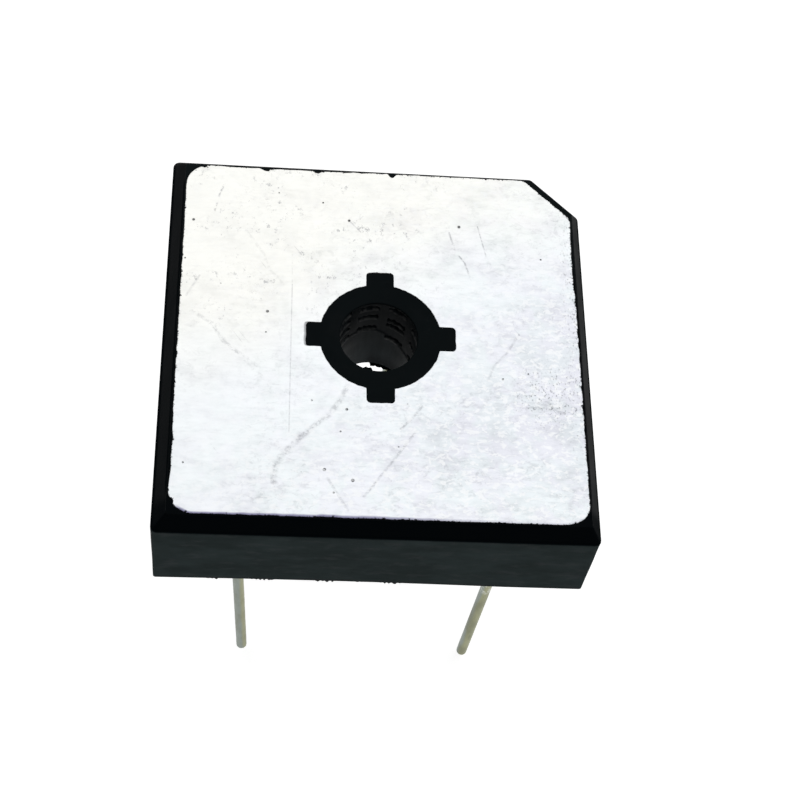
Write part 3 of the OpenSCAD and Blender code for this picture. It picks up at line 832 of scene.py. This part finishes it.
# A flash that stands in from the wall of the hole, from the wall's radius and at a height
def makeHoleFlash(name, look, radius, height, seed, steepEnd, material):
    degrees = np.arange(look["from"], look["to"] + 0.01, 0.8)
    share = (degrees - look["from"]) / (look["to"] - look["from"])
    hump = smoothStep(share, 0, 0.35) * (1 - smoothStep(share, steepEnd, 1))
    depth = look["depth"] * hump + look["rough"] * hump * waves(seed, 9, degrees)
    wall, lip = radius + 0 * degrees, radius - depth - 0.01
    radii = np.stack([wall, wall, lip, lip], 1)
    heights = height + look["thick"] * np.array([0, 1, 1, 0])
    corners = polarPoints(radii, np.radians(degrees)[:, None], heights)
    return makeStrip(name, corners, material)


makeFrontFlash(plastic)
mouthRadius = boreRadius + caseShape["mouthBreak"]
makeHoleFlash("mouthFlash", flashShape["mouth"], mouthRadius + 0.03, caseFoot + 0.02, 51, 0.94, plastic)
makeHoleFlash("rimFlash", flashShape["rim"], boreRadius + 0.17, plateFace - 0.11, 52, 0.75, plastic)

# The wires: a solder coat of small waves over the exposed part, which ends in a cut or a rounded tip
wireShape = {
    "coat": 0.02, "head": 0.8, "headThick": 0.4, "wave": 0.012, "around": 40, "step": 0.16,
    "tipRound": {"lead_minus": 0.1, "lead_ac1": 0.3, "lead_plus": 0.12, "lead_ac2": 0.14},
    "tipRise": {"lead_minus": 0.6, "lead_ac1": 0.2, "lead_plus": 0.12, "lead_ac2": 0.0},
}


# Rows of a wire: the tip's quarter circle, then the coat with its radius less a wave, then the bare wire
# and the head. The centre of each row moves along X with the wire's lean until the case's foot.
def makeWire(name, seed, material):
    wire, w = leadWires[name], wireShape
    around = np.arange(w["around"]) / w["around"] * turn
    corner, tip = w["tipRound"][name], w["tipRise"][name]
    outer, inner = wire["radius"], wire["radius"] - w["coat"]
    arc = np.linspace(0, turn / 4, 7)
    levels = np.arange(tip + corner + w["step"], caseFoot - 0.1, w["step"])
    neck, seat = wire["seat"] - w["headThick"], wire["seat"]
    radii = np.concatenate([[outer - corner - 0.12], outer - corner + corner * np.sin(arc),
                            0 * levels + outer, [outer, inner, inner, w["head"], w["head"]]])
    heights = np.concatenate([[tip], tip + corner - corner * np.cos(arc), levels,
                              [caseFoot, caseFoot, neck, neck, seat]])
    coated = (heights < caseFoot)[:, None]
    wave = waves(seed, 2.2, 0.5 * np.cos(around), 0.5 * np.sin(around), heights[:, None])
    fine = waves(seed + 1, 0.5, np.cos(around), np.sin(around), 0.6 * heights[:, None])
    uneven = w["wave"] * (0.6 - 0.3 * wave - 0.12 * fine) * coated
    grown = np.maximum(radii[:, None] - np.maximum(uneven, 0) * radii[:, None] / outer, 0.02)
    points = polarPoints(grown, around, heights[:, None])
    nearTip = (1 - smoothStep(heights, tip, tip + 0.5))[:, None]
    points[..., 2] += 0.03 * nearTip * (1 + np.cos(around - seed)) / 2
    points += [*wire["root"], 0]
    points[..., 0] += wire["slope"] * np.minimum(points[..., 2] - caseFoot, 0)
    rows, columns = points.shape[:2]
    ends = np.array([points[0].mean(0), points[-1].mean(0)])
    faces = ringFaces(rows, columns)
    ring, last = np.arange(columns), rows * columns
    low = np.stack([np.roll(ring, -1), ring, 0 * ring + last], 1)
    high = np.stack([ring, np.roll(ring, -1), 0 * ring], 1) + [last - columns, last - columns, last + 1]
    side = np.concatenate([np.broadcast_to(np.cos(around), (rows, columns)).ravel(), [0, 0]])
    points = np.vstack([points.reshape(-1, 3), ends])
    return makePiece(name.replace("lead_", "wire_"), points, [faces, low, high], material,
                     [name], {"side": side}, 50)


for seed, name in enumerate(leadWires):
    makeWire(name, 60 + 2 * seed, tinned)

# The resin climbs each wire where it leaves the case: its height falls with the distance to the hole's wall
collarShape = {"climb": 0.32, "power": 2.4, "rows": 8, "around": 40}


def makeResinCollars(material):
    c = collarShape
    around = np.arange(c["around"]) / c["around"] * turn
    points, faces, first = [], [], 0
    for seed, wire in enumerate(leadWires.values()):
        share = np.linspace(0, 1, c["rows"])[:, None]
        inner, outer = wire["radius"] - 0.02, caseShape["leadHole"] - 0.004
        climb = c["climb"] * (1 + 0.25 * waves(80 + seed, 3, np.cos(around), np.sin(around)))
        below = caseFoot - 0.004 - climb * (1 - share) ** c["power"]
        radii = np.vstack([inner + (outer - inner) * share, [[outer], [inner]]])
        heights = np.vstack([below * np.ones(c["around"]), np.full((2, c["around"]), caseFoot + 0.02)])
        ring = polarPoints(radii, around, heights) + [*wire["root"], 0]
        ring[..., 0] += wire["slope"] * np.minimum(ring[..., 2] - caseFoot, 0)
        points.append(ring.reshape(-1, 3))
        faces.append(ringFaces(len(ring), c["around"], first, True))
        first += ring[..., 0].size
    return makePiece("resinCollars", np.vstack(points), [np.vstack(faces)], material)


makeResinCollars(plain["resin"])

stageLook = {"floor": (0.6, 0.6, 0.6), "glow": 0.82, "reach": 1.5}


def paintFloor(place):
    return {"Base Color": (*stageLook["floor"], 1), "Roughness": 0.9, "Specular IOR Level": 0.1,
            "Emission Color": (1, 1, 1, 1), "Emission Strength": stageLook["glow"]}


reach = stageLook["reach"]
floorMesh = bpy.data.meshes.new("floor")
floorMesh.from_pydata([(-reach, -reach, 0), (reach, -reach, 0), (reach, reach, 0), (-reach, reach, 0)], [],
                      [(0, 1, 2, 3)])
floor = bpy.data.objects.new("floor", floorMesh)
floorMesh.materials.append(makeMaterial("paleFloor", paintFloor))
bpy.context.scene.collection.objects.link(floor)

# The camera looks down at the plate from the front: heading is its turn from +Y towards +X
cameraView = {"heading": 10.569, "pitch": -60.332, "roll": 11.399, "distance": 112.12,
              "aim": (1.36, -4.756), "lens": 77.68}
cameraData = bpy.data.cameras.new("camera")
cameraData.lens = cameraView["lens"]
cameraData.sensor_width = 36
cameraData.clip_start = 0.005
camera = bpy.data.objects.new("camera", cameraData)
bpy.context.scene.collection.objects.link(camera)
heading, pitch = math.radians(cameraView["heading"]), math.radians(cameraView["pitch"])
forward = Vector((math.sin(heading) * math.cos(pitch), math.cos(heading) * math.cos(pitch), math.sin(pitch)))
roll = Matrix.Rotation(math.radians(cameraView["roll"]), 3, "Z")
rolled = forward.to_track_quat("-Z", "Y").to_matrix() @ roll
aim = Vector((*cameraView["aim"], plateFace)) * mm
camera.matrix_world = Matrix.Translation(aim - forward * cameraView["distance"] * mm) @ rolled.to_4x4()
bpy.context.scene.camera = camera


def addSoftbox(name, direction, distance, size, radiance, spreadDegrees=180):
    light = bpy.data.lights.new(name, "AREA")
    light.shape = "RECTANGLE"
    light.size, light.size_y = size
    light.energy = radiance * math.pi * size[0] * size[1]
    light.spread = math.radians(spreadDegrees)
    lamp = bpy.data.objects.new(name, light)
    bpy.context.scene.collection.objects.link(lamp)
    where = Vector(direction).normalized()
    lamp.location = where * distance + Vector((0, 0, plateFace * mm))
    lamp.rotation_euler = where.to_track_quat("Z", "Y").to_euler()
    return lamp


addSoftbox("overheadSoftbox", (0.08, 0.52, 0.85), 0.6, (0.7, 0.6), 0.43)

world = bpy.data.worlds.new("studio")
world.use_nodes = True
bpy.context.scene.world = world
sky = Signal(world.node_tree)
background = world.node_tree.nodes["Background"]
ray = sky.node("LightPath", take="Is Camera Ray")
facing = sky.node("TexCoord", take="Generated")
rise = axis(facing, "Z") * 0.7 + axis(facing, "Y") * 0.45 + axis(facing, "X") * 0.25
ambient = step(rise, 0.0, 0.8, 0.04, 0.74)
level = ray + (1 - ray) * ambient
world.node_tree.links.new(level.output, background.inputs["Color"])
bpy.context.scene.view_settings.view_transform = "Standard"

print("scene ready")
